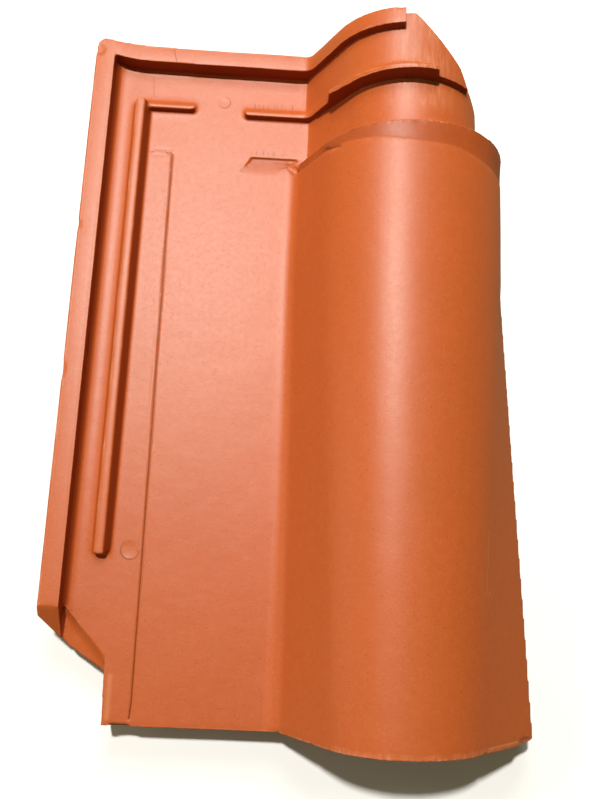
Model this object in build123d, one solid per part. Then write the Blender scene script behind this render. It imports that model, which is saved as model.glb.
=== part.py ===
"""Interlocking S-profile clay roof tile, moulded and fired as one piece.

Millimetres, Z up, Y towards the head (upper) end of the tile, X across it.
While it is being shaped, X = 0 is the outer side of the left lip, Y = 0 is the
front (lower) edge and Z = 0 is the top of the flat pan.  The last step moves it
so that its box sits on Z = 0 with its centre over the origin.
"""

import os
from math import acos, atan2, cos, degrees, hypot, radians, sin, tan

from build123d import *

# Whole tile
LENGTH = 430.0
CLAY = 12.0
CENTRE_X = 205.0
FLANK = 60.0
FOOT_Z = 0.0

# The barrel at its shoulder, and the length of the lap over the next tile
BARREL_CREST = 60.0
CROWN_CENTRE_UP = 2.0
SIDE_CENTRE_DOWN = 8.5
BARREL_CROWN = BARREL_CREST - CROWN_CENTRE_UP
BARREL_SIDE = BARREL_CREST + SIDE_CENTRE_DOWN
BARREL_SIDE_TURN = 80.0
BARREL_VALLEY_ROUND = 8.0
HEAD_LAP = 81.5
SHOULDER_Y = LENGTH - HEAD_LAP

# The barrel flares and softens towards the front edge
FLARE_LENGTH = 275.0
FRONT_CROWN = BARREL_CROWN - 14.1
FRONT_SIDE = BARREL_SIDE - 6.5
FRONT_SIDE_TURN = 45.0
FRONT_FLANK = 56.0
FRONT_VALLEY_ROUND = 12.0
FLARE_STATIONS = 6
FRONT_CORNER_ROUND = 4.5

# The neck goes inside the barrel of the tile above it, so it is the barrel less the clay
NECK_CLEARANCE = 3.3
NECK_LOOSENESS = 1.0
NECK_CREST = BARREL_CREST - NECK_CLEARANCE
NECK_CROWN = BARREL_CROWN - CLAY - NECK_LOOSENESS
NECK_SHIFT = 2.5
NECK_FLANK = 55.0
NECK_SIDE_TURN = 85.0
NECK_VALLEY_ROUND = 2.0

# The barrel ends in a collar that flares out a little, with a slightly slanted rim
COLLAR_WIDTH = 16.0
COLLAR_PROUD = 1.0
RIM_SETBACK = 9.0
RIM_SLANT = 0.05
COLLAR_HOLLOW = 11.0

# Behind the lap bars the barrel stands a little above the neck
HEAD_STEP = 5.2
HEAD_STEP_SWELL = 4.0
HEAD_SHIFT = 1.0
HEAD_STEP_BACK = 43.1
HEAD_STEP_Y = LENGTH - HEAD_STEP_BACK
STEP_CUT_BACK = 30.0
STEP_CUT_X = 29.3
STEP_CUT_RUN = 7.5

# Lap bars: low across the pan, tall over the barrel
LAP_BAR_RISE = 4.6
BAR_VALLEY_ROUND = 7.0
LOW_BAR_CROWN_RISE = 5.9
LOW_BAR_SWELL = 5.6
TALL_BAR_RISE = 10.9
TALL_BAR_SWELL = 6.5
TALL_BAR_SHIFT = 3.0
TALL_BAR_FLANK = 48.0
LAP_BAR_TOP = 3.0
LAP_BAR_BACK = 4.0
LAP_BAR_ROUND = 2.0
LEFT_BAR_SETBACK = 1.8
LEFT_BAR_END_X = 67.6
RIGHT_BAR_START_X = 100.5
LAP_BAR_JOG_X = 155.0
LAP_BAR_END_X = 219.5

# Head bar: along the head edge up to the crest
HEAD_BAR_RISE = 10.7
HEAD_BAR_CROWN_RISE = 10.5
HEAD_BAR_SWELL = 6.5
HEAD_BAR_WIDTH = 11.2
HEAD_BAR_END_X = 198.5
HEAD_SLANT = 0.009
HEAD_TRIM = 0.2
HEAD_CURL = 4.2
HEAD_CURL_RUN = 50.0
HEAD_INNER_CURL = 6.8
HEAD_INNER_RUN = 34.0
HEAD_CORNER_ROUND = 9.0
HEAD_END_STEP = 2.0
HEAD_CUT_X = 203.5

# Left side lock: lip, channel and long rib
LIP_WIDTH = 13.1
LIP_RISE = 11.4
LIP_ROUND = 1.5
LIP_COVE = 6.0
RIB_RIGHT = 37.7
RIB_WIDTH = 11.2
RIB_RIGHT_SLOPE = 3.2
RIB_LEFT_SLOPE = 2.2
RIB_RISE = 8.0
RIB_ROUND = 1.2
RIB_START_Y = 95.5
RIB_END_BACK = 35.8
RIB_END_Y = LENGTH - RIB_END_BACK

# Fine joint line in the pan, round the strip where the next tile's barrel edge lands
JOINT_X = 54.1
JOINT_FLARE = 3.0
JOINT_TURN = 0.6
JOINT_TURN_RUN = 9.0
JOINT_WIDTH = 1.4
JOINT_DEPTH = 0.9
JOINT_START_Y = 4.0
JOINT_END_Y = SHOULDER_Y + 10.4

# Wedge-shaped hollow in the pan at the foot of the shoulder
WEDGE_DEPTH = 1.6
WEDGE_BACK_Y = SHOULDER_Y + 10.6
WEDGE_FRONT_Y = SHOULDER_Y - 1.0
WEDGE_BACK_X = (106.9, 139.5)
WEDGE_FRONT_X = (99.2, 121.3)

# Shallow round marks left in the pan by the mould
MARK_DEPTH = 0.4
LOW_MARK = (48.3, 99.3, 5.5)
HIGH_MARK_BACK = 32.0
HIGH_MARK = (86.5, LENGTH - HIGH_MARK_BACK, 3.8)

# Front notch that lets four tiles meet, with its sloping end faces
NOTCH_TIP_Y = 59.6
NOTCH_BEND = (16.9, 42.6)
NOTCH_FOOT = (39.6, 29.0)
NOTCH_FRONT_X = 41.3
NOTCH_LIP_Y = 65.2
NOTCH_LIP_SLOPE = 36.0
NOTCH_STEP_DEPTH = 3.6
NOTCH_STEP_RUN = 3.8
NOTCH_LEDGE_DROP = 2.0
NOTCH_LEDGE_RUN = 18.0
NOTCH_TOP_START = (12.7, 66.6)
NOTCH_TOP_END = (40.1, 37.0)

# Small chip under the pan's front edge
CHIP_X = (45.0, 55.5)
CHIP_DEPTH = 1.6
CHIP_Z = -2.2

# Hanging nibs under the head
NIB_DROP = 12.0
NIB_LENGTH = 16.0
NIB_WIDTH = 26.0
NIB_ROUND = 2.0
NIB_BACK = 30.0
NIB_Y = LENGTH - NIB_BACK
NIB_CENTRES = (58.0, 112.0)

OVER = 8.0
DEEP = -60.0
FAR_X = 380.0


def profile(y, centre_x, flank, crest, crown, side, side_turn, valley_round, left_x, level=0.0, depth=0.0):
    """One S-curve across the tile: pan, valley, flank, crown, side and foot.

    depth moves the whole curve inwards, square to itself, by that much.
    """
    turn = radians(flank)
    swing = radians(side_turn)
    crown_z = crest - crown
    side_z = crest - side
    crown_r = crown - depth
    side_r = side - depth
    pan_z = level - depth
    touch_x = centre_x - crown_r * sin(turn)
    touch_z = crown_z + crown_r * cos(turn)
    valley_x = touch_x - (touch_z - pan_z) / tan(turn)
    bend = valley_round + depth
    reach = bend * tan(turn / 2)
    half = turn / 2
    bend_start = (valley_x - reach, y, pan_z)
    bend_middle = (valley_x - reach + bend * sin(half), y, pan_z + bend * (1 - cos(half)))
    bend_end = (valley_x + reach * cos(turn), y, pan_z + reach * sin(turn))
    touch = (touch_x, y, touch_z)
    crown_middle = (centre_x - crown_r * sin(half), y, crown_z + crown_r * cos(half))
    top = (centre_x, y, crest - depth)
    side_middle = (centre_x + side_r * sin(swing / 2), y, side_z + side_r * cos(swing / 2))
    side_end = (centre_x + side_r * sin(swing), y, side_z + side_r * cos(swing))
    foot = (side_end[0] + (side_end[2] - FOOT_Z) / tan(swing), y, FOOT_Z)
    left = (left_x, y, pan_z)
    edges = [
        Line(left, bend_start),
        ThreePointArc(bend_start, bend_middle, bend_end),
        Line(bend_end, touch),
        ThreePointArc(touch, crown_middle, top),
        ThreePointArc(top, side_middle, side_end),
        Line(side_end, foot),
    ]
    return edges, left, foot


def filled(y, *shape, level=0.0):
    """A section of everything below the weather side."""
    edges, left, foot = profile(y, *shape, -OVER, level=level)
    low_right = (foot[0], y, DEEP)
    low_left = (left[0], y, DEEP)
    return Face(Wire(edges + [Line(foot, low_right), Line(low_right, low_left), Line(low_left, left)]))


def hollow(y, *shape):
    """A section of the space below the tile's underside."""
    edges, left, foot = profile(y, *shape, -2 * OVER, depth=CLAY)
    right = (FAR_X, y, FOOT_Z)
    low_right = (FAR_X, y, 2 * DEEP)
    low_left = (left[0], y, 2 * DEEP)
    edges += [Line(foot, right), Line(right, low_right), Line(low_right, low_left), Line(low_left, left)]
    return Face(Wire(edges))


def foot_reach(crest, side, side_turn):
    """How far the barrel's outer edge is from the barrel's centre line."""
    swing = radians(side_turn)
    side_z = crest - side
    return side * sin(swing) + (side_z + side * cos(swing) - FOOT_Z) / tan(swing)


def turn_to(crest, side, reach):
    """The turn of the side arc from which a straight flank runs smoothly to the outer edge."""
    drop = crest - side - FOOT_Z
    away = hypot(reach, drop)
    return degrees(atan2(reach, -drop) - acos(min(1.0, side / away)))


def front_shape(y):
    """The barrel's sizes where it flares; its outer edge stays straight."""
    part = y / FLARE_LENGTH
    sizes = [a + (b - a) * part for a, b in zip(FRONT, BARREL[1:])]
    flank, crest, crown, side, _, valley_round = sizes
    front_reach = foot_reach(BARREL_CREST, FRONT_SIDE, FRONT_SIDE_TURN)
    back_reach = foot_reach(BARREL_CREST, BARREL_SIDE, BARREL_SIDE_TURN)
    reach = front_reach + (back_reach - front_reach) * part
    return (CENTRE_X, flank, crest, crown, side, turn_to(crest, side, reach), valley_round)


def stations(start):
    """Places along the flare, from the given start to where the barrel runs straight."""
    step = (FLARE_LENGTH - start) / FLARE_STATIONS
    return [start + step * n for n in range(FLARE_STATIONS + 1)]


def raised(shift, flank, rise, swell, valley_round):
    """The neck's sizes with its crest moved aside and raised, and its radius enlarged."""
    crown = NECK_CROWN + swell
    return (CENTRE_X + shift, flank, NECK_CREST + rise, crown, crown, NECK_SIDE_TURN, valley_round)


FRONT = (FRONT_FLANK, BARREL_CREST, FRONT_CROWN, FRONT_SIDE, FRONT_SIDE_TURN, FRONT_VALLEY_ROUND)
BARREL = (
    CENTRE_X,
    FLANK,
    BARREL_CREST,
    BARREL_CROWN,
    BARREL_SIDE,
    BARREL_SIDE_TURN,
    BARREL_VALLEY_ROUND,
)
PROUD_BARREL = (
    CENTRE_X,
    FLANK,
    BARREL_CREST + COLLAR_PROUD,
    BARREL_CROWN + COLLAR_PROUD,
    BARREL_SIDE + COLLAR_PROUD,
    BARREL_SIDE_TURN,
    BARREL_VALLEY_ROUND,
)
NECK = raised(NECK_SHIFT, NECK_FLANK, 0, 0, NECK_VALLEY_ROUND)
HEAD_ZONE = raised(HEAD_SHIFT, FLANK, HEAD_STEP, HEAD_STEP_SWELL, NECK_VALLEY_ROUND)


def span(x0, x1, y0, y1, z0=2 * DEEP, z1=-2 * DEEP):
    """A plain block between three pairs of limits."""
    block = Box(x1 - x0, y1 - y0, z1 - z0)
    return Pos((x0 + x1) / 2, (y0 + y1) / 2, (z0 + z1) / 2) * block


def prism(points, z0, z1):
    """An upright block over a many-sided outline."""
    outline = Polyline(*points, close=True)
    return extrude(Pos(0, 0, z0) * Face(Wire(outline.edges())), z1 - z0, dir=(0, 0, 1))


def rim_line():
    """Everything on the head side of the collar's rim."""
    rim = SHOULDER_Y + RIM_SETBACK
    reach = FAR_X - CENTRE_X
    points = [
        (-CENTRE_X, rim - 2 * CENTRE_X * RIM_SLANT),
        (FAR_X, rim + reach * RIM_SLANT),
        (FAR_X, LENGTH + 2 * OVER),
        (-CENTRE_X, LENGTH + 2 * OVER),
    ]
    return prism(points, 2 * DEEP, -2 * DEEP)


def step_corner():
    """The raised head zone's corner is cut back more steeply than the neck's."""
    x = CENTRE_X + STEP_CUT_X
    y = LENGTH - STEP_CUT_BACK
    points = [(x, y), (x + STEP_CUT_RUN, y - 2 * STEP_CUT_RUN), (FAR_X, y - 2 * STEP_CUT_RUN), (FAR_X, y)]
    return prism(points, 2 * DEEP, -2 * DEEP)


def weather_side():
    """Pan and barrel seen from above: flare, straight barrel, collar, neck and head step."""
    head = LENGTH + OVER
    collar_y = SHOULDER_Y + COLLAR_WIDTH
    flare = loft([filled(y, *front_shape(y)) for y in stations(0)], ruled=True)
    straight = loft([filled(y, *BARREL) for y in (FLARE_LENGTH, SHOULDER_Y)], ruled=True)
    collar = loft([filled(SHOULDER_Y, *BARREL), filled(collar_y, *PROUD_BARREL)], ruled=True) - rim_line()
    neck = loft([filled(SHOULDER_Y, *NECK), filled(head, *NECK)], ruled=True)
    step = loft([filled(HEAD_STEP_Y, *HEAD_ZONE), filled(head, *HEAD_ZONE)], ruled=True) - step_corner()
    return flare + straight + collar + neck + step


def underside():
    """The space beneath, which leaves the clay the same thickness all over."""
    inner_y = SHOULDER_Y + COLLAR_HOLLOW
    flare = loft([hollow(y, *front_shape(y)) for y in stations(-OVER)], ruled=True)
    straight = loft([hollow(FLARE_LENGTH, *BARREL), hollow(SHOULDER_Y, *BARREL)], ruled=True)
    shoulder = loft([hollow(SHOULDER_Y, *BARREL), hollow(inner_y, *NECK)], ruled=True)
    neck = loft([hollow(inner_y, *NECK), hollow(LENGTH + 2 * OVER, *NECK)], ruled=True)
    return flare + straight + shoulder + neck


def lap_bar(y, shape, x0, x1):
    """A bar across the head with an upright front and a sloping back."""
    top_y = y + LAP_BAR_TOP
    back_y = top_y + LAP_BAR_BACK
    crest = loft([filled(n, *shape, level=LAP_BAR_RISE) for n in (y, top_y)], ruled=True)
    back = loft([filled(top_y, *shape, level=LAP_BAR_RISE), filled(back_y, *HEAD_ZONE)], ruled=True)
    return (crest + back) & span(x0, x1, y - OVER, LENGTH)


def round_ended(bar, x, y, side):
    """Rounds the front corner of a bar's free end; side is -1 for a left end and 1 for a right end."""
    middle = x - side * LAP_BAR_ROUND
    x0, x1 = sorted((middle, x + side))
    corner = span(x0, x1, y - 1, y + LAP_BAR_ROUND)
    corner = corner - Pos(middle, y + LAP_BAR_ROUND, 0) * Cylinder(LAP_BAR_ROUND, -8 * DEEP)
    return bar - corner


def lap_bars():
    """The bar on each side of the pan, and the tall one over the barrel."""
    left_y = HEAD_STEP_Y + LEFT_BAR_SETBACK
    low_shape = raised(HEAD_SHIFT, FLANK, LOW_BAR_CROWN_RISE, LOW_BAR_SWELL, BAR_VALLEY_ROUND)
    tall_shape = raised(TALL_BAR_SHIFT, TALL_BAR_FLANK, TALL_BAR_RISE, TALL_BAR_SWELL, BAR_VALLEY_ROUND)
    left = lap_bar(left_y, HEAD_ZONE, RIB_RIGHT - RIB_WIDTH / 2, LEFT_BAR_END_X)
    low = lap_bar(HEAD_STEP_Y, low_shape, RIGHT_BAR_START_X, LAP_BAR_JOG_X)
    tall = lap_bar(HEAD_STEP_Y, tall_shape, LAP_BAR_JOG_X, LAP_BAR_END_X)
    left = round_ended(left, LEFT_BAR_END_X, left_y, 1)
    low = round_ended(low, RIGHT_BAR_START_X, HEAD_STEP_Y, -1)
    return left + low + tall


def head_line(y, run, curl):
    """A line across the head, which curls outwards before it reaches the lip."""
    start_x = run + LIP_WIDTH / 4
    start = (FAR_X, y - (FAR_X - start_x) * HEAD_SLANT)
    bend = (start_x, y)
    middle = (start_x - run / 2, y + curl / 4)
    end = (start_x - run, y + curl)
    last = (-2 * OVER, y + curl + (start_x - run + 2 * OVER) * curl / run)
    return [Line(start, bend), ThreePointArc(bend, middle, end), Line(end, last)], start, last


def head_end(y):
    """Everything beyond the tile's head edge."""
    edge, right, left = head_line(y, HEAD_CURL_RUN, HEAD_CURL)
    far_right = (FAR_X, LENGTH + 4 * OVER)
    far_left = (-2 * OVER, LENGTH + 4 * OVER)
    outline = Wire(edge + [Line(left, far_left), Line(far_left, far_right), Line(far_right, right)])
    return extrude(Pos(0, 0, 2 * DEEP) * Face(outline), -4 * DEEP, dir=(0, 0, 1))


def head_front(y):
    """Everything on the front side of the head bar's face."""
    face, right, left = head_line(y, HEAD_INNER_RUN, HEAD_INNER_CURL)
    low_right = (FAR_X, SHOULDER_Y)
    low_left = (-2 * OVER, SHOULDER_Y)
    outline = Wire(face + [Line(left, low_left), Line(low_left, low_right), Line(low_right, right)])
    return extrude(Pos(0, 0, 2 * DEEP) * Face(outline), -4 * DEEP, dir=(0, 0, 1))


def head_bar():
    """The tall bar along the head edge, which stops just short of the crest."""
    shape = raised(0, FLANK, HEAD_BAR_CROWN_RISE, HEAD_BAR_SWELL, BAR_VALLEY_ROUND)
    y0 = LENGTH - HEAD_BAR_WIDTH
    ends = (y0 - OVER, LENGTH + OVER)
    bar = loft([filled(y, *shape, level=HEAD_BAR_RISE) for y in ends], ruled=True)
    bar = bar - head_front(y0)
    return bar & span(-OVER, HEAD_BAR_END_X, y0 - OVER, LENGTH + 2 * OVER)


def lip():
    """The raised left edge, with a cove where it meets the channel."""
    bar = span(0, LIP_WIDTH, 0, LENGTH + OVER, -CLAY, LIP_RISE)
    bar = fillet(bar.edges().filter_by(Axis.Y).group_by(Axis.Z)[-1], LIP_ROUND)
    corner = (LIP_WIDTH, 0, 0)
    out = (LIP_WIDTH + LIP_COVE, 0, 0)
    up = (LIP_WIDTH, 0, LIP_COVE)
    dip = LIP_COVE * (1 - sin(radians(45)))
    curve = ThreePointArc(out, (LIP_WIDTH + dip, 0, dip), up)
    cove = extrude(Face(Wire([Line(corner, out), curve, Line(up, corner)])), LENGTH + OVER, dir=(0, 1, 0))
    return bar + cove


def long_rib():
    """The long rib: steep on the right, with rounded ends."""
    left = RIB_RIGHT - RIB_WIDTH
    right = RIB_RIGHT
    length = RIB_END_Y - RIB_START_Y
    points = [
        (left, RIB_START_Y, -2),
        (right, RIB_START_Y, -2),
        (right, RIB_START_Y, 0),
        (right - RIB_RIGHT_SLOPE, RIB_START_Y, RIB_RISE),
        (left + RIB_LEFT_SLOPE, RIB_START_Y, RIB_RISE),
        (left, RIB_START_Y, 0),
    ]
    bar = extrude(Face(Wire(Polyline(*points, close=True).edges())), length, dir=(0, 1, 0))
    slot = Pos((left + right) / 2, RIB_START_Y + length / 2, -OVER) * extrude(
        RectangleRounded(RIB_WIDTH, length, RIB_WIDTH * 0.42), 3 * OVER
    )
    bar = bar & slot
    return fillet(bar.faces().sort_by(Axis.Z)[-1].edges(), RIB_ROUND)


def joint_line():
    """The fine groove round the strip that the next tile's barrel edge lies on."""
    half = JOINT_WIDTH / 2
    bend_x = JOINT_X + JOINT_FLARE
    bend_y = JOINT_START_Y + JOINT_TURN_RUN
    points = [
        (bend_x - half, bend_y),
        (bend_x - half - JOINT_TURN, JOINT_START_Y),
        (bend_x + half - JOINT_TURN, JOINT_START_Y),
        (bend_x + half, bend_y),
        (JOINT_X + half, JOINT_END_Y + half),
        (RIB_RIGHT, JOINT_END_Y + half),
        (RIB_RIGHT, JOINT_END_Y - half),
        (JOINT_X - half, JOINT_END_Y - half),
    ]
    return prism(points, -JOINT_DEPTH, OVER / 4)


def wedge():
    """The shallow hollow beside the shoulder, deepest at its head end."""
    back = [(WEDGE_BACK_X[0], WEDGE_BACK_Y, 0), (WEDGE_BACK_X[1], WEDGE_BACK_Y, 0)]
    front = [(WEDGE_FRONT_X[1], WEDGE_FRONT_Y, 0), (WEDGE_FRONT_X[0], WEDGE_FRONT_Y, 0)]
    block = prism([p[:2] for p in back + front], -WEDGE_DEPTH, OVER)
    run = WEDGE_BACK_Y - WEDGE_FRONT_Y
    ramp = [
        (0, WEDGE_BACK_Y, -WEDGE_DEPTH),
        (0, WEDGE_BACK_Y, OVER),
        (0, WEDGE_FRONT_Y - run, OVER),
        (0, WEDGE_FRONT_Y, 0),
    ]
    sweep_block = extrude(Face(Wire(Polyline(*ramp, close=True).edges())), FAR_X, dir=(1, 0, 0))
    return block & sweep_block


def mark(x, y, radius):
    """A round mark left in the pan."""
    return Pos(x, y, 0) * Cylinder(radius, 2 * MARK_DEPTH)


def nib(x):
    """A lug under the head that hooks over the batten."""
    block = span(
        x - NIB_WIDTH / 2, x + NIB_WIDTH / 2, NIB_Y, NIB_Y + NIB_LENGTH, -CLAY - NIB_DROP, -CLAY / 2
    )
    return fillet(block.faces().sort_by(Axis.Z)[0].edges(), NIB_ROUND)


def notch_outline():
    """Everything outside the slanted end of the lip and the channel."""
    points = [
        (-2 * OVER, NOTCH_TIP_Y),
        (0, NOTCH_TIP_Y),
        NOTCH_BEND,
        NOTCH_FOOT,
        (NOTCH_FRONT_X, -OVER),
        (-2 * OVER, -OVER),
    ]
    return prism(points, 2 * DEEP, -2 * DEEP)


def notch_lip_slope():
    """The sloping end face of the lip."""
    slope = tan(radians(NOTCH_LIP_SLOPE))
    drop = CLAY + LIP_RISE
    low = NOTCH_LIP_Y - drop / slope
    points = [
        (-OVER, NOTCH_LIP_Y, LIP_RISE),
        (-OVER, low, LIP_RISE - drop),
        (-OVER, low, 3 * OVER),
        (-OVER, NOTCH_LIP_Y, 3 * OVER),
    ]
    return extrude(Face(Wire(Polyline(*points, close=True).edges())), LIP_WIDTH + OVER, dir=(1, 0, 0))


def notch_ledge():
    """A step and a gentler ledge that end the channel."""
    (x0, y0), (x1, y1) = NOTCH_TOP_START, NOTCH_TOP_END
    run = hypot(x1 - x0, y1 - y0)
    along = ((x1 - x0) / run, (y1 - y0) / run)
    out = (along[1], -along[0])
    step = [
        (0, 0),
        (NOTCH_STEP_RUN, -NOTCH_STEP_DEPTH),
        (NOTCH_LEDGE_RUN, -NOTCH_STEP_DEPTH - NOTCH_LEDGE_DROP),
        (NOTCH_LEDGE_RUN, 2 * OVER),
        (0, 2 * OVER),
    ]
    points = [(x0 + out[0] * n, y0 + out[1] * n, z) for n, z in step]
    face = Face(Wire(Polyline(*points, close=True).edges()))
    start = Pos(-along[0] * OVER, -along[1] * OVER, 0)
    ledge = extrude(start * face, run + 2 * OVER, dir=(along[0], along[1], 0))
    return ledge & span(LIP_WIDTH, NOTCH_FOOT[0], -OVER, LENGTH)


def head_cut():
    """The barrel's head corner is cut away on the slant, to clear the next tile's lip."""
    run = NECK_CREST
    points = [
        (HEAD_CUT_X - OVER, LENGTH + OVER),
        (HEAD_CUT_X + run, LENGTH - run),
        (FAR_X, LENGTH - run),
        (FAR_X, LENGTH + 2 * OVER),
        (HEAD_CUT_X - OVER, LENGTH + 2 * OVER),
    ]
    return prism(points, 2 * DEEP, -2 * DEEP)


def front_chip():
    """A shallow chip in the front face, just under the pan's edge."""
    return span(*CHIP_X, -OVER, CHIP_DEPTH, -OVER, CHIP_Z)


def front_corner(right_x):
    """Rounds the barrel's outer front corner."""
    x = right_x - FRONT_CORNER_ROUND
    block = span(x, right_x + OVER, -OVER, FRONT_CORNER_ROUND)
    return block - Pos(x, FRONT_CORNER_ROUND, 0) * Cylinder(FRONT_CORNER_ROUND, -8 * DEEP)


def head_corner():
    """Rounds the outer corner where the lip meets the head."""
    y = LENGTH + HEAD_CURL
    block = span(-OVER, HEAD_CORNER_ROUND, y - HEAD_CORNER_ROUND, y + OVER)
    centre = Pos(HEAD_CORNER_ROUND, y - HEAD_CORNER_ROUND, 0)
    return block - centre * Cylinder(HEAD_CORNER_ROUND, -8 * DEEP)


def build():
    tile = weather_side() + lip() + long_rib() + head_bar() + lap_bars()
    tile = tile - underside()
    for x in NIB_CENTRES:
        tile = tile + nib(x)
    tile = tile - span(-2 * OVER, 0, -OVER, LENGTH + 2 * OVER)
    tile = tile - head_end(LENGTH - HEAD_TRIM) - head_cut()
    tile = tile - span(HEAD_BAR_END_X, FAR_X, LENGTH - HEAD_END_STEP, LENGTH + 3 * OVER) - head_corner()
    tile = tile - notch_outline() - notch_lip_slope() - notch_ledge()
    tile = tile - joint_line() - wedge() - mark(*LOW_MARK) - mark(*HIGH_MARK) - front_chip()
    tile = tile - front_corner(tile.bounding_box().max.X)
    box = tile.bounding_box()
    return Pos(-box.center().X, -box.center().Y, -box.min.Z) * tile


roof_tile = build()
os.makedirs("parts", exist_ok=True)
export_step(roof_tile, "parts/roof_tile.step")
box = roof_tile.bounding_box()
print("size", box.size, "solids", len(roof_tile.solids()), "volume", roof_tile.volume)
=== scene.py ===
"""The looks of a fired clay roof tile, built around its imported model.

Everything is in metres and in the model's own frame: Z is up, Y runs towards the
tile's head, and the tile's box is centred over the origin.
"""

import bmesh
import bpy
import numpy as np
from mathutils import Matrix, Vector


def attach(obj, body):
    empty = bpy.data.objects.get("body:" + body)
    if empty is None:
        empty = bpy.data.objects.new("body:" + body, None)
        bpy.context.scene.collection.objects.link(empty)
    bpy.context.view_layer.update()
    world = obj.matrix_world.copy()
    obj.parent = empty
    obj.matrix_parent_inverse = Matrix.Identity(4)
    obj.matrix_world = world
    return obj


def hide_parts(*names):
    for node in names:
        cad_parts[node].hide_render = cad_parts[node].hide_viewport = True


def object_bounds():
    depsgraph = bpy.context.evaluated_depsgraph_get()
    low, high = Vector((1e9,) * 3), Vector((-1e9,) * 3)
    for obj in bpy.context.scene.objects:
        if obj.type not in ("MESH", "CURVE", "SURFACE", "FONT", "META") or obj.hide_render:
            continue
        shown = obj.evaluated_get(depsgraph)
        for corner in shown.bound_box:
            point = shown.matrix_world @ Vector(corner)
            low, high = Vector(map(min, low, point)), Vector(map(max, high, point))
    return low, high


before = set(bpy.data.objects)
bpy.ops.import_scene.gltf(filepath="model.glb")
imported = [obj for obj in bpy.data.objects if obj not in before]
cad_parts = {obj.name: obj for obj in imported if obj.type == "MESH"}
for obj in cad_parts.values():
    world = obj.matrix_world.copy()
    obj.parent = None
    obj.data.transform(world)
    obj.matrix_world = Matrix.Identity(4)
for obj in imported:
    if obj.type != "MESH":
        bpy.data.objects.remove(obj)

cad_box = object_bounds()

MM = 0.001

# The pan's top is this far above the box's foot; the other two sides start at the box's low corner
PAN_UP = 24.0

# The worked clay: how finely it is made, how soft its arrises are, how many triangles are kept
CLAY_GRAIN = 0.75 * MM
ARRIS_PASSES = 2
EVEN_PASSES = 45
EVEN_LIMIT = 13.0
KEPT_TRIANGLES = 195000

# Places on the tile, in millimetres from its own corner
CROWN_X = 205.0
COLLAR_FOOT_Y = 348.5
RIM_Y = 357.5
RIM_SLANT = 0.05

# Slight waves in the clay: height, size, seed; and the fine ripple of the faces that look up
WAVES = ((0.10, 31.0, 3), (0.05, 11.0, 4))
RIPPLE_HEIGHT = 0.018
RIPPLE_SIZE = 2.6

# The collar's band: how deep it is sunk, how its lower edge drops and wanders, and where it stops
BAND_DEPTH = 0.30
BAND_DROP = 4.5
BAND_SIDE_DROP = 3.0
BAND_WANDER = 0.7
BAND_EDGE = 0.9
BAND_LEFT_X = 138
BAND_LOW_Z = 1.5

# Where the clay is paler from wear and painted highlight, and where it is darker from tint and painted
# shade, in the tile's own millimetres
NECK_FRONT_Y = 366
CREST_X = 212
CREST_HALF_WIDTH = 26
SIDE_SHADE_X = 235
FRONT_SHADE_Y = 190
PAN_RIGHT_X = 133
HEAD_CROWN_LOW = (195, 386, 30)
LAP_BAR_Y = 380
RIB_AND_CHANNEL_X = 42
HEAD_BAR_FRONT_Y = 424
WEDGE_FRONT_Y = 348
WEDGE_HEAD_Y = 359
WEDGE_LEFT_X = 99
WEDGE_LEFT_SLANT = 0.7
WEDGE_RIGHT_X = 139
FRONT_EDGE_DEPTH = 3.0
BARREL_FRONT_X = 165

# The clay's colours, from the fired body to the marks, painted highlight and painted shade laid over it
BASE_CLAY = (0.53, 0.104, 0.018)
CLOUDED_CLAY = (0.49, 0.102, 0.020)
PATCHED_CLAY = (0.64, 0.160, 0.045)
FLECKED_CLAY = (0.70, 0.22, 0.07)
SPECKED_CLAY = (0.28, 0.045, 0.008)
# paler places: wear, and painted highlight on the neck's crest, the upward arrises and the barrel's front
# edge
WEAR_AND_HIGHLIGHT_CLAY = (0.80, 0.36, 0.20)
# painted shade on faces turned from the key, in the wedge and at the pan's front, with tint on the collar's
# band
SHADE_AND_TINT_CLAY = (0.20, 0.026, 0.004)
# pale marks and chips, and a painted highlight on the pan's rounded left edge
SCUFF_AND_HIGHLIGHT_CLAY = (0.76, 0.32, 0.14)
# dark lines: the joint, a crack and other marks, and painted shade in the creases, along the wedge's steps
# and in the front chip
LINED_CLAY = (0.115, 0.018, 0.003)

# The sheen: its strength on bare clay and where lines, tint and painted shade darken it, and the range of
# its roughness
SHEEN = 0.56
DARK_SHEEN = 0.10
SMOOTHEST = 0.445
ROUGHEST = 0.475

# The floor and the air round it, in metres: what they give back, and what the camera sees
FLOOR_HALF = 3.0
FLOOR_BOUNCE = (0.40, 0.29, 0.16)
FLOOR_SEEN = (1.0, 1.0, 0.99)
AIR_LIGHT = (0.100, 0.090, 0.052)
AIR_SEEN = (1.0, 1.0, 1.0)
GLOW = 0.16
GLOW_STARTS = 0.030
GLOW_FULL = 0.060

# The softbox beyond the head: what it looks at, from which side, and how far off
KEY_AIM = Vector((0.06, -0.217, 0.084))
KEY_SIDE = Vector((-0.18, 0.46, 1.0))
KEY_DISTANCE = 2.6

# The camera's lens, its place over the tile in millimetres, and its turn in degrees
LENS = 36.045
SENSOR = 36.0
CAMERA_PLACE = (134.304, 94.108, 489.868)
CAMERA_TURN = (11.68523, -1.95139, 2.55546)


def place(x, y, z=0.0):
    """A point given in millimetres from the tile's own corner, in the frame."""
    return Vector(cad_box[0]) + Vector((x, y, z + PAN_UP)) * MM


def applied(piece):
    """Turns a piece's modifiers into plain mesh."""
    graph = bpy.context.evaluated_depsgraph_get()
    graph.update()
    mesh = bpy.data.meshes.new_from_object(piece.evaluated_get(graph), depsgraph=graph)
    piece.modifiers.clear()
    old = piece.data
    piece.data = mesh
    bpy.data.meshes.remove(old)
    return piece


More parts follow.
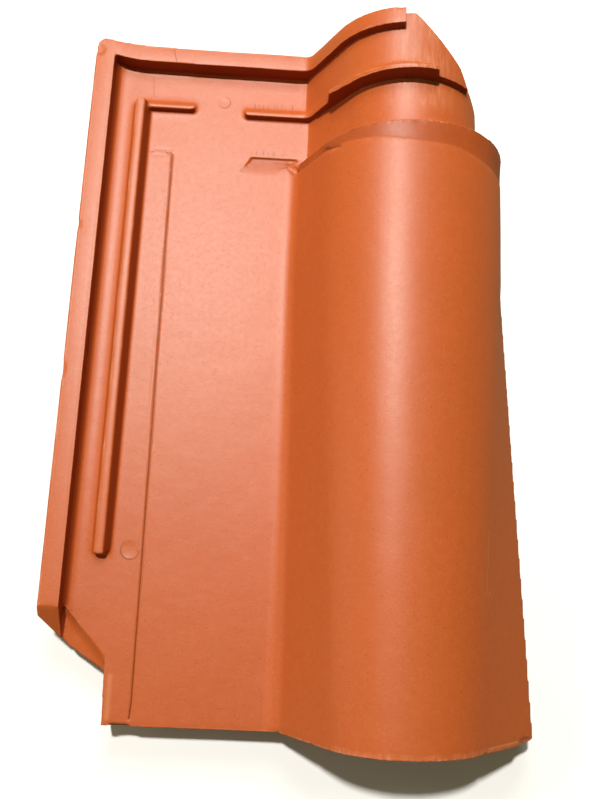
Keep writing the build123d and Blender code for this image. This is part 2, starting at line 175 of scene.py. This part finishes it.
def pressed_clay(node):
    """A finely divided copy of the moulded solid, with its arrises eased."""
    tile = node.copy()
    tile.data = node.data.copy()
    tile.name = "fired_tile"
    tile.parent = None
    for key in list(tile.keys()):
        del tile[key]
    bpy.context.scene.collection.objects.link(tile)
    shape = bmesh.new()
    shape.from_mesh(tile.data)
    bmesh.ops.remove_doubles(shape, verts=shape.verts, dist=0.002 * MM)
    shape.to_mesh(tile.data)
    shape.free()
    grain = tile.modifiers.new("grain", "REMESH")
    grain.mode = "VOXEL"
    grain.voxel_size = CLAY_GRAIN
    grain.adaptivity = 0.0
    ease = tile.modifiers.new("ease", "SMOOTH")
    ease.factor = 0.5
    ease.iterations = ARRIS_PASSES
    return applied(tile)


def vertex_values(mesh, key):
    """Positions or normals of all vertices as rows of three."""
    values = np.empty(len(mesh.vertices) * 3, np.float32)
    mesh.vertices.foreach_get(key, values)
    return values.reshape(-1, 3).astype(float)


def write_points(mesh, points):
    """Moves all vertices to the given places."""
    mesh.vertices.foreach_set("co", points.astype(np.float32).ravel())
    mesh.update()


def linked_pairs(mesh):
    """The two vertices of every edge."""
    ends = np.empty(len(mesh.edges) * 2, np.int32)
    mesh.edges.foreach_get("vertices", ends)
    return ends.reshape(-1, 2).T


def evened(tile, passes, limit):
    """Evens out flat and gently curved places along their normals, and leaves the arrises."""
    mesh = tile.data
    points = vertex_values(mesh, "co")
    normals = vertex_values(mesh, "normal")
    first, second = linked_pairs(mesh)
    alike = (normals[first] * normals[second]).sum(1) > np.cos(np.radians(limit))
    first, second = first[alike], second[alike]
    total = len(points)
    count = np.bincount(first, minlength=total) + np.bincount(second, minlength=total)
    share = np.where(count > 2, 0.5, 0.0) / np.maximum(count, 1)
    for _ in range(passes):
        height = np.zeros(total)
        for axis in range(3):
            column = points[:, axis]
            near = np.bincount(first, column[second], total) + np.bincount(second, column[first], total)
            height += (near - column * count) * share * normals[:, axis]
        points += normals * height[:, None]
    write_points(mesh, points)
    return tile


def rounded(tile, boxes, passes):
    """Rounds the bars that the mould leaves soft; boxes are in the tile's own millimetres."""
    mesh = tile.data
    points = vertex_values(mesh, "co")
    spots = (points - np.array(place(0, 0))) / MM
    inside = np.zeros(len(points), bool)
    for low, high in boxes:
        inside |= ((spots > low) & (spots < high)).all(1)
    first, second = linked_pairs(mesh)
    near = inside[first] | inside[second]
    first, second = first[near], second[near]
    total = len(points)
    count = np.maximum(np.bincount(first, minlength=total) + np.bincount(second, minlength=total), 1)
    for _ in range(passes):
        for axis in range(3):
            column = points[:, axis]
            near = np.bincount(first, column[second], total) + np.bincount(second, column[first], total)
            column[inside] += 0.5 * (near / count - column)[inside]
    write_points(mesh, points)
    return tile


def lumps(points, size, seed):
    """Smooth random heights between -1 and 1, about size millimetres apart."""
    cells = points / size
    low = np.floor(cells).astype(int)
    part = cells - low
    part = part * part * (3 - 2 * part)
    low -= low.min(0)
    heights = np.random.default_rng(seed).uniform(-1, 1, low.max(0) + 2)
    result = np.zeros(len(points))
    for corner in np.ndindex(2, 2, 2):
        weight = np.ones(len(points))
        for axis in range(3):
            weight *= part[:, axis] if corner[axis] else 1 - part[:, axis]
        result += weight * heights[tuple((low + corner).T)]
    return result


def near_to(points, centre, reach):
    """1 at a centre, falling to 0 at the given distances along the three axes."""
    away = (((points - centre) / reach) ** 2).sum(1)
    return np.clip(1 - away, 0, 1)


def along_line(points, start, end, width, fade=True):
    """1 on a line, falling to 0 at its width; it can also fade at both ends."""
    start, end = np.array(start, float), np.array(end, float)
    run = end - start
    part = ((points - start) @ run) / (run @ run)
    nearest = start + np.clip(part, 0, 1)[:, None] * run
    away = np.linalg.norm(points - nearest, axis=1) / width
    ends = np.clip(4 * part * (1 - part) + 0.25, 0, 1) if fade else 1
    return np.clip(1 - away * away, 0, 1) * ends


# The long rib, and the lap bars on the pan, which the mould leaves rounded: low and high corners
SOFT_BARS = (
    ((24.0, 92.0, -1.0), (40.5, 396.0, 12.0)),
    ((30.0, 384.0, -1.0), (150.0, 397.0, 12.0)),
)
SOFT_PASSES = 9

# The joint line in the pan
JOINT_DEPTH = 0.4
JOINT_WIDTH = 1.0
JOINT_REACH = 2.5
JOINT = tuple(
    (x, y, -JOINT_DEPTH / 2) for x, y in ((56.5, 4), (57.1, 13), (54.1, 357.4), (52.6, 358.9), (37.7, 359.2))
)

# Creases in the clay beside the wedge and on the collar: start, end, half width, depth
CREASES = (
    ((129.5, 358.0, 0), (133.8, 356.4, 0), 1.3, 0.8),
    ((133.4, 356.6, 0), (138.6, 348.4, 2.8), 1.3, 1.0),
    ((131.0, 353.8, -0.6), (136.4, 348.0, 1.6), 1.8, -0.5),
    ((152.5, 351.0, 27.6), (163.5, 347.6, 42.0), 1.3, 0.8),
)

# Dark lines, marks and painted shade: start, end, half width, strength
DARK_LINES = (
    # painted shade along the wedge's head and left edges and in its creases, and in the collar's dent
    ((107.4, 358.9, -0.4), (130.5, 358.7, -0.4), 0.7, 0.55),
    ((99.6, 348.0, 0), (107.2, 358.6, -0.5), 0.8, 0.25),
    ((122.0, 356.4, -1.2), (132.0, 355.6, -0.9), 0.8, 0.5),
    ((129.0, 358.3, -0.4), (133.8, 356.4, -0.4), 0.8, 0.7),
    ((133.6, 356.6, -0.4), (138.8, 348.4, 2.6), 0.9, 0.85),
    ((152.5, 351.0, 27.6), (163.5, 347.4, 42.3), 1.0, 0.7),
    ((154.3, 351.0, 30.6), (156.5, 350.4, 33.6), 1.6, 0.6),
    # a hairline crack in the head bar, and other dark marks
    ((51.2, 429.5, 10.7), (53.9, 419.3, 10.7), 0.45, 0.7),
    ((56.0, 418.9, 0.6), (60.0, 418.9, 0.0), 1.0, 0.6),
    ((37.7, 413.5, 0), (38.8, 399.0, 0), 0.7, 0.28),
    ((168.0, 417.6, 43.5), (168.0, 417.8, 48.9), 0.7, 0.6),
    ((200.3, 386.9, 56.5), (200.3, 386.9, 61.6), 0.8, 0.6),
    ((13.1, 217.0, 5.0), (13.1, 230.0, 6.5), 2.0, 0.7),
    # painted shadow in the chip at the front edge
    ((46.2, 0.9, -0.2), (56.6, 0.5, -0.2), 1.3, 0.85),
)

# Pale lines, a painted highlight first and then pale marks, chips and a scratch: start, end, half width,
# strength
PALE_LINES = (
    # painted highlight along the pan's rounded left edge
    ((43.6, 27.0, 0), (43.8, 4.0, 0), 2.6, 0.30),
    # pale marks, chips and a scratch
    ((147.0, 12.4, 5.2), (148.2, 10.0, 7.4), 0.9, 0.7),
    ((149.0, 6.6, 7.4), (149.4, 4.6, 8.2), 0.8, 0.7),
    ((256.0, 84.6, 34.9), (257.4, 82.8, 33.8), 0.7, 0.6),
    ((256.5, 2.6, 34.5), (279.6, 2.6, 11.1), 0.9, 0.55),
    ((255.9, 118.9, 35.3), (254.2, 83.1, 36.9), 0.45, 0.45),
)

# Round marks left by the mould: centre, radius, the side on which the line is darkest
RINGS = (
    ((86.5, 398.0, 0), 4.0, (0.8, -0.6, 0)),
    ((49.0, 99.3, 0), 5.7, (-0.5, -0.85, 0)),
)

# Strips of faint drag marks above the right lap bar and above the wedge: start, end, half width, strength
DRAG_STRIPS = (
    ((106.0, 396.8, 0), (133.0, 397.2, 0), 3.6, 0.36),
    ((108.5, 362.4, 0), (127.5, 362.2, 0), 3.2, 0.34),
)

# Chips in arrises: centre, reach along the three axes, depth
CHIPS = (
    ((51, 0, 0), (7, 1.6, 2), 1.2),
    ((284, 1, 6), (9, 3.5, 9), 1.6),
    ((287, 4, 14), (3.5, 4, 6), 1.2),
    ((272, 0, 12), (5, 2.5, 4), 1.0),
    ((252, 0, 36), (3.5, 2, 3), 0.8),
    ((143, 0, 1), (4, 1.8, 3), 0.6),
    ((162, 0, 27), (3, 1.6, 3), 0.5),
    ((0, 205, 11), (3, 7, 2), 0.5),
    ((0, 300, 11), (3, 4, 2), 0.4),
    ((2, 425, 12), (5, 5, 3), 0.7),
    ((196, 430, 66), (5, 3, 4), 0.6),
    ((219, 388, 66), (2, 2.5, 3), 0.5),
    ((68, 389, 4), (2.5, 2, 2), 0.4),
    ((100, 387, 4), (2.5, 2, 2), 0.4),
)


def relieved(tile):
    """Fine relief on the worked clay: slight waves, the collar's band, creases, chips and the joint."""
    mesh = tile.data
    points = vertex_values(mesh, "co")
    normals = vertex_values(mesh, "normal")
    spots = (points - np.array(place(0, 0))) / MM
    rise = sum(height * lumps(spots, size, seed) for height, size, seed in WAVES)
    facing_up = np.clip(normals[:, 2] * 2, 0, 1)
    rise += RIPPLE_HEIGHT * lumps(spots * (0.35, 1.0, 0.35), RIPPLE_SIZE, 5) * facing_up
    rise -= BAND_DEPTH * collar_share(spots, normals)
    for start, end, width, depth in CREASES:
        rise -= depth * along_line(spots, start, end, width)
    for centre, reach, depth in CHIPS:
        ragged = 1 + 0.35 * lumps(spots, 2.2, 7)
        rise -= depth * np.clip(near_to(spots, centre, reach) * ragged, 0, 1)
    spots += normals * rise[:, None]
    in_groove = (spots[:, 2] < 0.1) & (spots[:, 2] > -2 * JOINT_WIDTH) & (normals[:, 2] > 0)
    away = np.full(len(spots), np.inf)
    for start, end in zip(JOINT, JOINT[1:]):
        away = np.minimum(away, 1 - along_line(spots * (1, 1, 0), start, end, JOINT_REACH, fade=False))
    near = in_groove & (away < 1)
    groove = -JOINT_DEPTH * np.clip(1 - away * JOINT_REACH**2 / JOINT_WIDTH**2, 0, 1)
    spots[near, 2] = groove[near]
    write_points(mesh, spots * MM + np.array(place(0, 0)))
    return tile


def collar_share(spots, normals):
    """1 on the collar's band, which is sunk a little and carries tint and painted shade, 0 off it."""
    x, y, z = spots.T
    foot = COLLAR_FOOT_Y - BAND_DROP * np.clip((x - 168) / 40, 0, 1) + BAND_WANDER * lumps(spots, 9.0, 6)
    foot -= BAND_SIDE_DROP * np.clip((x - 235) / 30, 0, 1)
    rim = RIM_Y + (x - CROWN_X) * RIM_SLANT
    band = np.clip((y - foot) / BAND_EDGE + 0.5, 0, 1)
    on_collar = (y < rim + 1) & (z > BAND_LOW_Z) & (x > BAND_LEFT_X) & (normals[:, 1] < 0.5)
    return np.where(on_collar, band, 0)


def thinned(tile):
    """Drops the faces that the flat places don't need."""
    count = sum(len(face.vertices) - 2 for face in tile.data.polygons)
    thin = tile.modifiers.new("thin", "DECIMATE")
    thin.ratio = min(1.0, KEPT_TRIANGLES / count)
    applied(tile)
    for face in tile.data.polygons:
        face.use_smooth = True
    return tile


def node_at(tree, kind, **values):
    """A shader node with its inputs and settings filled in."""
    node = tree.nodes.new(kind)
    for name, value in values.items():
        if hasattr(node, name):
            setattr(node, name, value)
        else:
            node.inputs[name.replace("_", " ")].default_value = value
    return node


class Clay:
    """Short ways to join shader nodes for the clay."""

    def __init__(self, tree):
        self.tree = tree
        self.coord = node_at(tree, "ShaderNodeTexCoord").outputs["Object"]

    def link(self, start, end):
        self.tree.links.new(start, end)

    def stretched(self, scale):
        """Object coordinates in millimetres, stretched for a pattern."""
        node = self.tree.nodes.new("ShaderNodeMapping")
        node.inputs["Scale"].default_value = [n / MM for n in scale]
        self.link(self.coord, node.inputs["Vector"])
        return node.outputs["Vector"]

    def noise(self, size, detail=2.0, rough=0.5, scale=(1, 1, 1)):
        """Cloudy noise, about size millimetres across."""
        node = self.tree.nodes.new("ShaderNodeTexNoise")
        node.inputs["Scale"].default_value = 1.0 / size
        node.inputs["Detail"].default_value = detail
        node.inputs["Roughness"].default_value = rough
        self.link(self.stretched(scale), node.inputs["Vector"])
        return node.outputs["Fac"]

    def ramp(self, source, low, high, to_low=0.0, to_high=1.0, smooth=False):
        """Maps a value from one range to another, clamped."""
        node = self.tree.nodes.new("ShaderNodeMapRange")
        node.interpolation_type = "SMOOTHSTEP" if smooth else "LINEAR"
        node.inputs["From Min"].default_value = low
        node.inputs["From Max"].default_value = high
        node.inputs["To Min"].default_value = to_low
        node.inputs["To Max"].default_value = to_high
        self.link(source, node.inputs["Value"])
        return node.outputs["Result"]

    def maths(self, kind, a, b):
        """One sum of two values, either of which may be a plain number."""
        node = self.tree.nodes.new("ShaderNodeMath")
        node.operation = kind
        for socket, value in zip(node.inputs, (a, b)):
            if isinstance(value, (int, float)):
                socket.default_value = value
            else:
                self.link(value, socket)
        return node.outputs[0]

    def mixed(self, share, under, over):
        """Mixes a colour over another by a share."""
        node = self.tree.nodes.new("ShaderNodeMix")
        node.data_type = "RGBA"
        if isinstance(share, (int, float)):
            node.inputs[0].default_value = share
        else:
            self.link(share, node.inputs[0])
        for socket, value in ((node.inputs[6], under), (node.inputs[7], over)):
            if isinstance(value, tuple):
                socket.default_value = (*value, 1)
            else:
                self.link(value, socket)
        return node.outputs[2]

    def height(self, value, distance, strength, before=None):
        """A bump of the given height in millimetres."""
        node = self.tree.nodes.new("ShaderNodeBump")
        node.inputs["Distance"].default_value = distance * MM
        node.inputs["Strength"].default_value = strength
        self.link(value, node.inputs["Height"])
        if before is not None:
            self.link(before, node.inputs["Normal"])
        return node.outputs["Normal"]

    def stroke(self, group, start, end, width, strength):
        """A soft line between two places on the tile."""
        start, run = place(*start), (Vector(end) - Vector(start)) * MM
        node = self.tree.nodes.new("ShaderNodeGroup")
        node.node_tree = group
        self.link(self.coord, node.inputs["Point"])
        node.inputs["Start"].default_value = start
        node.inputs["Run"].default_value = run
        node.inputs["Share"].default_value = 1 / run.dot(run)
        node.inputs["Width"].default_value = width * MM
        node.inputs["Strength"].default_value = strength
        return node.outputs["Value"]

    def strokes(self, group, lines, before=0.0):
        """The strongest of several soft lines at each place."""
        for line in lines:
            before = self.maths("MAXIMUM", self.stroke(group, *line), before)
        return before

    def attribute(self, name):
        """A value kept on the mesh."""
        node = self.tree.nodes.new("ShaderNodeAttribute")
        node.attribute_name = name
        return node.outputs["Fac"]


def stroke_group():
    """Nodes that give a soft line: 1 on it and 0 beyond its width."""
    group = bpy.data.node_groups.new("stroke", "ShaderNodeTree")
    for name in ("Point", "Start", "Run"):
        group.interface.new_socket(name, in_out="INPUT", socket_type="NodeSocketVector")
    for name in ("Share", "Width", "Strength"):
        group.interface.new_socket(name, in_out="INPUT", socket_type="NodeSocketFloat")
    group.interface.new_socket("Value", in_out="OUTPUT", socket_type="NodeSocketFloat")
    nodes, link = group.nodes, group.links.new
    given, result = nodes.new("NodeGroupInput"), nodes.new("NodeGroupOutput")
    away = node_at(group, "ShaderNodeVectorMath", operation="SUBTRACT")
    along = node_at(group, "ShaderNodeVectorMath", operation="DOT_PRODUCT")
    part = node_at(group, "ShaderNodeMath", operation="MULTIPLY", use_clamp=True)
    onto = node_at(group, "ShaderNodeVectorMath", operation="SCALE")
    gap = node_at(group, "ShaderNodeVectorMath", operation="DISTANCE")
    fall = node_at(group, "ShaderNodeMapRange", interpolation_type="SMOOTHSTEP")
    fall.inputs["From Min"].default_value = 0
    fall.inputs["To Max"].default_value = 0
    link(given.outputs["Point"], away.inputs[0])
    link(given.outputs["Start"], away.inputs[1])
    link(away.outputs[0], along.inputs[0])
    link(given.outputs["Run"], along.inputs[1])
    link(along.outputs["Value"], part.inputs[0])
    link(given.outputs["Share"], part.inputs[1])
    link(given.outputs["Run"], onto.inputs[0])
    link(part.outputs[0], onto.inputs["Scale"])
    link(away.outputs[0], gap.inputs[0])
    link(onto.outputs[0], gap.inputs[1])
    link(gap.outputs["Value"], fall.inputs["Value"])
    link(given.outputs["Width"], fall.inputs["From Max"])
    link(given.outputs["Strength"], fall.inputs["To Min"])
    link(fall.outputs["Result"], result.inputs["Value"])
    return group


def ring(make, centre, radius, toward):
    """A fine round line, darkest on one side."""
    tree = make.tree
    away = node_at(tree, "ShaderNodeVectorMath", operation="SUBTRACT")
    make.link(make.coord, away.inputs[0])
    away.inputs[1].default_value = place(*centre)
    length = node_at(tree, "ShaderNodeVectorMath", operation="LENGTH")
    make.link(away.outputs[0], length.inputs[0])
    side = node_at(tree, "ShaderNodeVectorMath", operation="DOT_PRODUCT")
    make.link(away.outputs[0], side.inputs[0])
    side.inputs[1].default_value = Vector(toward) / (radius * MM)
    off = make.maths("ABSOLUTE", make.maths("SUBTRACT", length.outputs["Value"], radius * MM), 0.0)
    line = make.ramp(off, 0.0, 0.7 * MM, 1.0, 0.0, smooth=True)
    return make.maths("MULTIPLY", line, make.ramp(side.outputs["Value"], -0.9, 0.9, 0.05, 0.6))


def drawn_lines(make):
    """All dark lines: the joint line, the round marks, the drag marks and other marks, with painted shade in
    creases and steps.
    """
    group = stroke_group()
    lines = [(a, b, 0.8, 0.92) for a, b in zip(JOINT, JOINT[1:3])]
    lines += [(a, b, 0.6, 0.5) for a, b in zip(JOINT[2:], JOINT[3:])]
    lines += DARK_LINES
    drag = make.ramp(make.noise(1.5, 0.0, 0.5, (1, 0.05, 0)), 0.52, 0.66, smooth=True)
    drag = make.maths("MULTIPLY", make.strokes(group, DRAG_STRIPS), drag)
    dark = make.strokes(group, lines, drag)
    for values in RINGS:
        dark = make.maths("MAXIMUM", ring(make, *values), dark)
    return dark, make.strokes(group, PALE_LINES)


def fired_clay():
    """Unglazed terracotta with slight mottling, fine grains, pale wear with painted highlight, and tint with
    painted shade.
    """
    clay = bpy.data.materials.new("fired_clay")
    clay.use_nodes = True
    tree = clay.node_tree
    shader = tree.nodes["Principled BSDF"]
    make = Clay(tree)
    cloud = make.ramp(make.noise(42.0, 3.0), 0.35, 0.65)
    colour = make.mixed(make.maths("MULTIPLY", cloud, 0.35), BASE_CLAY, CLOUDED_CLAY)
    patch = make.ramp(make.noise(4.5, 3.0, 0.6), 0.42, 0.70)
    colour = make.mixed(make.maths("MULTIPLY", patch, 0.15), colour, PATCHED_CLAY)
    fleck = make.ramp(make.noise(1.1, 2.0, 0.6), 0.60, 0.74)
    colour = make.mixed(make.maths("MULTIPLY", fleck, 0.36), colour, FLECKED_CLAY)
    speck = make.ramp(make.noise(1.3, 1.0, 0.5, (1, 1.3, 1)), 0.33, 0.25)
    colour = make.mixed(make.maths("MULTIPLY", speck, 0.55), colour, SPECKED_CLAY)
    # paler places: wear, and painted highlight on the neck's crest, the upward arrises and the barrel's
    # front edge
    wear_and_highlight = make.attribute("wear_and_highlight")
    streak = make.ramp(make.noise(2.2, 3.0, 0.6, (1, 0.16, 1)), 0.42, 0.66)
    pale = make.maths("MULTIPLY", wear_and_highlight, make.maths("ADD", make.maths("MULTIPLY", streak, 0.75), 0.25))
    colour = make.mixed(pale, colour, WEAR_AND_HIGHLIGHT_CLAY)
    # painted shade on faces turned from the key, in the wedge and at the pan's front, with tint on the
    # collar's band
    colour = make.mixed(make.attribute("painted_shade_and_tint"), colour, SHADE_AND_TINT_CLAY)
    # pale marks, and a painted highlight on the pan's rounded left edge
    lines, scuffs_and_highlight = drawn_lines(make)
    colour = make.mixed(scuffs_and_highlight, colour, SCUFF_AND_HIGHLIGHT_CLAY)
    # dark lines: the joint and marks, and painted shade in the creases, along the wedge's steps and in the
    # front chip
    colour = make.mixed(lines, colour, LINED_CLAY)
    make.link(colour, shader.inputs["Base Color"])
    dark = make.maths("MAXIMUM", lines, make.attribute("painted_shade_and_tint"))
    make.link(make.ramp(dark, 0.0, 1.0, SHEEN, DARK_SHEEN), shader.inputs["Specular IOR Level"])
    rough = make.ramp(make.noise(3.0, 2.0), 0.3, 0.7, SMOOTHEST, ROUGHEST)
    make.link(rough, shader.inputs["Roughness"])
    fine = make.height(make.noise(0.9, 3.0, 0.6), 0.10, 0.36)
    drag = make.height(make.noise(2.6, 2.0, 0.5, (0.42, 1, 0.6)), 0.14, 0.14, fine)
    pits = make.height(make.ramp(make.noise(1.3, 1.0), 0.22, 0.36), 0.10, 0.35, drag)
    make.link(pits, shader.inputs["Normal"])
    return clay


def sharpness(mesh, normals):
    """1 on arrises that stick out, 0 on flat places and in hollows."""
    points = vertex_values(mesh, "co") / MM
    first, second = linked_pairs(mesh)
    run = points[second] - points[first]
    bend = ((normals[second] - normals[first]) * run).sum(1) / (run * run).sum(1).clip(0.2)
    total = len(points)
    count = np.bincount(first, minlength=total) + np.bincount(second, minlength=total)
    mean = (np.bincount(first, bend, total) + np.bincount(second, bend, total)) / np.maximum(count, 1)
    return np.clip((mean - 0.06) / 0.2, 0, 1)


def put_attribute(mesh, name, values):
    """Keeps one value per vertex on the mesh."""
    layer = mesh.attributes.new(name, "FLOAT", "POINT")
    layer.data.foreach_set("value", np.clip(values, 0, 1).astype(np.float32))


def wear_highlight_and_shade(tile):
    """Marks where the clay is paler from wear and painted highlight, and where it is darker from tint and
    painted shade.
    """
    mesh = tile.data
    normals = vertex_values(mesh, "normal")
    spots = (vertex_values(mesh, "co") - np.array(place(0, 0))) / MM
    x, y, z = spots.T
    # paler along the neck's crest: partly wear, partly painted highlight where the crest's sheen lies
    crest = np.clip(1 - np.abs(x - CREST_X) / CREST_HALF_WIDTH, 0, 1) * (normals[:, 2] > 0.6)
    wear_and_highlight = 0.75 * crest * np.clip((y - NECK_FRONT_Y) / 6, 0, 1) * (0.6 + 0.4 * lumps(spots, 14.0, 11))
    # the collar's band: a tint, and painted shade that deepens to the right, where the band turns away from
    # the key
    collar = collar_share(spots, normals)
    side = np.clip((x - SIDE_SHADE_X) / 40, 0, 1)
    painted_shade_and_tint = collar * (0.33 + 0.1 * lumps(spots, 12.0, 12) + 0.3 * side)
    # painted shade: the pan darker towards its front edge, farther from the lamps
    front_pan_shade = (x < PAN_RIGHT_X) * (z < 1) * np.clip((FRONT_SHADE_Y - y) / FRONT_SHADE_Y, 0, 1)
    painted_shade_and_tint += 0.10 * front_pan_shade
    # a little darker on the head's crown
    head_crown = (spots > HEAD_CROWN_LOW).all(1)
    painted_shade_and_tint += 0.10 * head_crown
    # painted shade in the sunk wedge, deepest towards its head end
    in_wedge = (y > WEDGE_FRONT_Y) & (y < WEDGE_HEAD_Y) & (z < 0.3) & (z > -3)
    in_wedge &= (x > WEDGE_LEFT_X + (y - WEDGE_FRONT_Y) * WEDGE_LEFT_SLANT) & (x < WEDGE_RIGHT_X)
    painted_shade_and_tint += np.where(in_wedge, 0.10 + 0.18 * np.clip((y - 350) / 8, 0, 1), 0)
    # painted shade on faces turned to the front, away from the key beyond the head, and on faces turned to
    # the right in the rib and channel
    front_face_shade = np.clip((-normals[:, 1] - 0.3) / 0.4, 0, 1) * (y > LAP_BAR_Y) * (z > 0)
    right_face_shade = np.clip((normals[:, 0] - 0.4) / 0.4, 0, 1) * (x < RIB_AND_CHANNEL_X)
    right_face_shade *= (y < HEAD_BAR_FRONT_Y) * (z > -0.5)
    painted_shade_and_tint = np.maximum(painted_shade_and_tint, 0.82 * np.maximum(front_face_shade, right_face_shade))
    # paler arrises: partly wear, partly painted highlight on the edges that face up to the lamps
    arris_wear_and_highlight = sharpness(mesh, normals) * (normals[:, 2] > 0.2) * np.clip(0.5 + lumps(spots, 8.0, 13), 0, 1)
    # painted highlight along the barrel's front top edge
    at_front = (y < FRONT_EDGE_DEPTH) * (x > BARREL_FRONT_X) * (normals[:, 2] > 0.3)
    front_edge_highlight = at_front * np.clip(0.7 + lumps(spots, 12.0, 14), 0, 1)
    put_attribute(mesh, "wear_and_highlight", np.maximum(wear_and_highlight, np.maximum(0.6 * arris_wear_and_highlight, 0.26 * front_edge_highlight)))
    put_attribute(mesh, "painted_shade_and_tint", painted_shade_and_tint)


def mixed_by_camera(tree, to_rest, to_camera):
    """A colour that is paler to the camera than to the light that bounces."""
    path = tree.nodes.new("ShaderNodeLightPath")
    mix = tree.nodes.new("ShaderNodeMix")
    mix.data_type = "RGBA"
    mix.inputs[6].default_value = (*to_rest, 1)
    mix.inputs[7].default_value = (*to_camera, 1)
    tree.links.new(path.outputs["Is Camera Ray"], mix.inputs[0])
    return mix.outputs[2]


def clear_of_tile(tree):
    """A weak glow, to the camera alone, that starts where the tile's shadow ends."""
    where = node_at(tree, "ShaderNodeTexCoord").outputs["Object"]
    size = node_at(tree, "ShaderNodeVectorMath", operation="ABSOLUTE")
    tree.links.new(where, size.inputs[0])
    off = node_at(tree, "ShaderNodeVectorMath", operation="SUBTRACT")
    tree.links.new(size.outputs[0], off.inputs[0])
    off.inputs[1].default_value = cad_box[1]
    outside = node_at(tree, "ShaderNodeVectorMath", operation="MAXIMUM")
    tree.links.new(off.outputs[0], outside.inputs[0])
    away = node_at(tree, "ShaderNodeVectorMath", operation="LENGTH")
    tree.links.new(outside.outputs[0], away.inputs[0])
    rise = node_at(tree, "ShaderNodeMapRange", interpolation_type="SMOOTHSTEP")
    tree.links.new(away.outputs["Value"], rise.inputs["Value"])
    rise.inputs["From Min"].default_value = GLOW_STARTS
    rise.inputs["From Max"].default_value = GLOW_FULL
    rise.inputs["To Max"].default_value = GLOW
    path = tree.nodes.new("ShaderNodeLightPath")
    seen = node_at(tree, "ShaderNodeMath", operation="MULTIPLY")
    tree.links.new(rise.outputs["Result"], seen.inputs[0])
    tree.links.new(path.outputs["Is Camera Ray"], seen.inputs[1])
    return seen.outputs[0]


def pale_floor():
    """A plain white floor under the tile."""
    mesh = bpy.data.meshes.new("floor")
    half = FLOOR_HALF
    corners = [(-half, -half, 0), (half, -half, 0), (half, half, 0), (-half, half, 0)]
    mesh.from_pydata(corners, [], [(0, 1, 2, 3)])
    floor = bpy.data.objects.new("floor", mesh)
    bpy.context.scene.collection.objects.link(floor)
    paint = bpy.data.materials.new("floor_white")
    paint.use_nodes = True
    tree = paint.node_tree
    tree.nodes.clear()
    dull = tree.nodes.new("ShaderNodeBsdfDiffuse")
    tree.links.new(mixed_by_camera(tree, FLOOR_BOUNCE, FLOOR_SEEN), dull.inputs["Color"])
    glow = tree.nodes.new("ShaderNodeEmission")
    tree.links.new(clear_of_tile(tree), glow.inputs["Strength"])
    both = tree.nodes.new("ShaderNodeAddShader")
    tree.links.new(dull.outputs[0], both.inputs[0])
    tree.links.new(glow.outputs[0], both.inputs[1])
    out = tree.nodes.new("ShaderNodeOutputMaterial")
    tree.links.new(both.outputs[0], out.inputs["Surface"])
    mesh.materials.append(paint)
    return floor


def soft_light(name, place_at, aim, size, power, colour=(1, 1, 1)):
    """One softbox."""
    lamp = bpy.data.lights.new(name, "AREA")
    lamp.shape = "DISK"
    lamp.size = size
    lamp.energy = power
    lamp.color = colour
    box = bpy.data.objects.new(name, lamp)
    box.location = place_at
    box.rotation_euler = (Vector(aim) - Vector(place_at)).to_track_quat("-Z", "Y").to_euler()
    bpy.context.scene.collection.objects.link(box)
    return box


def studio():
    """Even weak light from all round, the key softbox beyond the head, and two weak ones."""
    world = bpy.data.worlds.new("studio")
    bpy.context.scene.world = world
    world.use_nodes = True
    tree = world.node_tree
    back = tree.nodes["Background"]
    colour = mixed_by_camera(tree, AIR_LIGHT, AIR_SEEN)
    tree.links.new(colour, back.inputs["Color"])
    back.inputs["Strength"].default_value = 1.0
    soft_light("key", KEY_AIM + KEY_SIDE * KEY_DISTANCE, KEY_AIM, 0.17, 80.0, (1, 0.985, 0.93))
    soft_light("head_light", (-0.05, 0.8, 0.9), (0, 0.1, 0.04), 0.5, 4.6)
    soft_light("side_light", (-1.0, -0.1, 0.35), (0.06, 0, 0.05), 0.8, 1.7, (1, 0.88, 0.74))


def camera():
    """Nearly straight above the tile's front half, as in the photograph."""
    lens = bpy.data.cameras.new("camera")
    lens.sensor_width = SENSOR
    lens.lens = LENS
    lens.clip_start = 0.01
    view = bpy.data.objects.new("camera", lens)
    view.location = place(*CAMERA_PLACE)
    view.rotation_euler = np.radians(CAMERA_TURN)
    bpy.context.scene.collection.objects.link(view)
    bpy.context.scene.camera = view


tile = pressed_clay(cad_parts["roof_tile"])
evened(tile, EVEN_PASSES, EVEN_LIMIT)
rounded(tile, SOFT_BARS, SOFT_PASSES)
relieved(tile)
thinned(tile)
wear_highlight_and_shade(tile)
tile.data.materials.clear()
tile.data.materials.append(fired_clay())
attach(tile, "root")
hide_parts("roof_tile")
print("faces kept", len(tile.data.polygons))

pale_floor()
studio()
camera()
bpy.context.scene.view_settings.view_transform = "Standard"
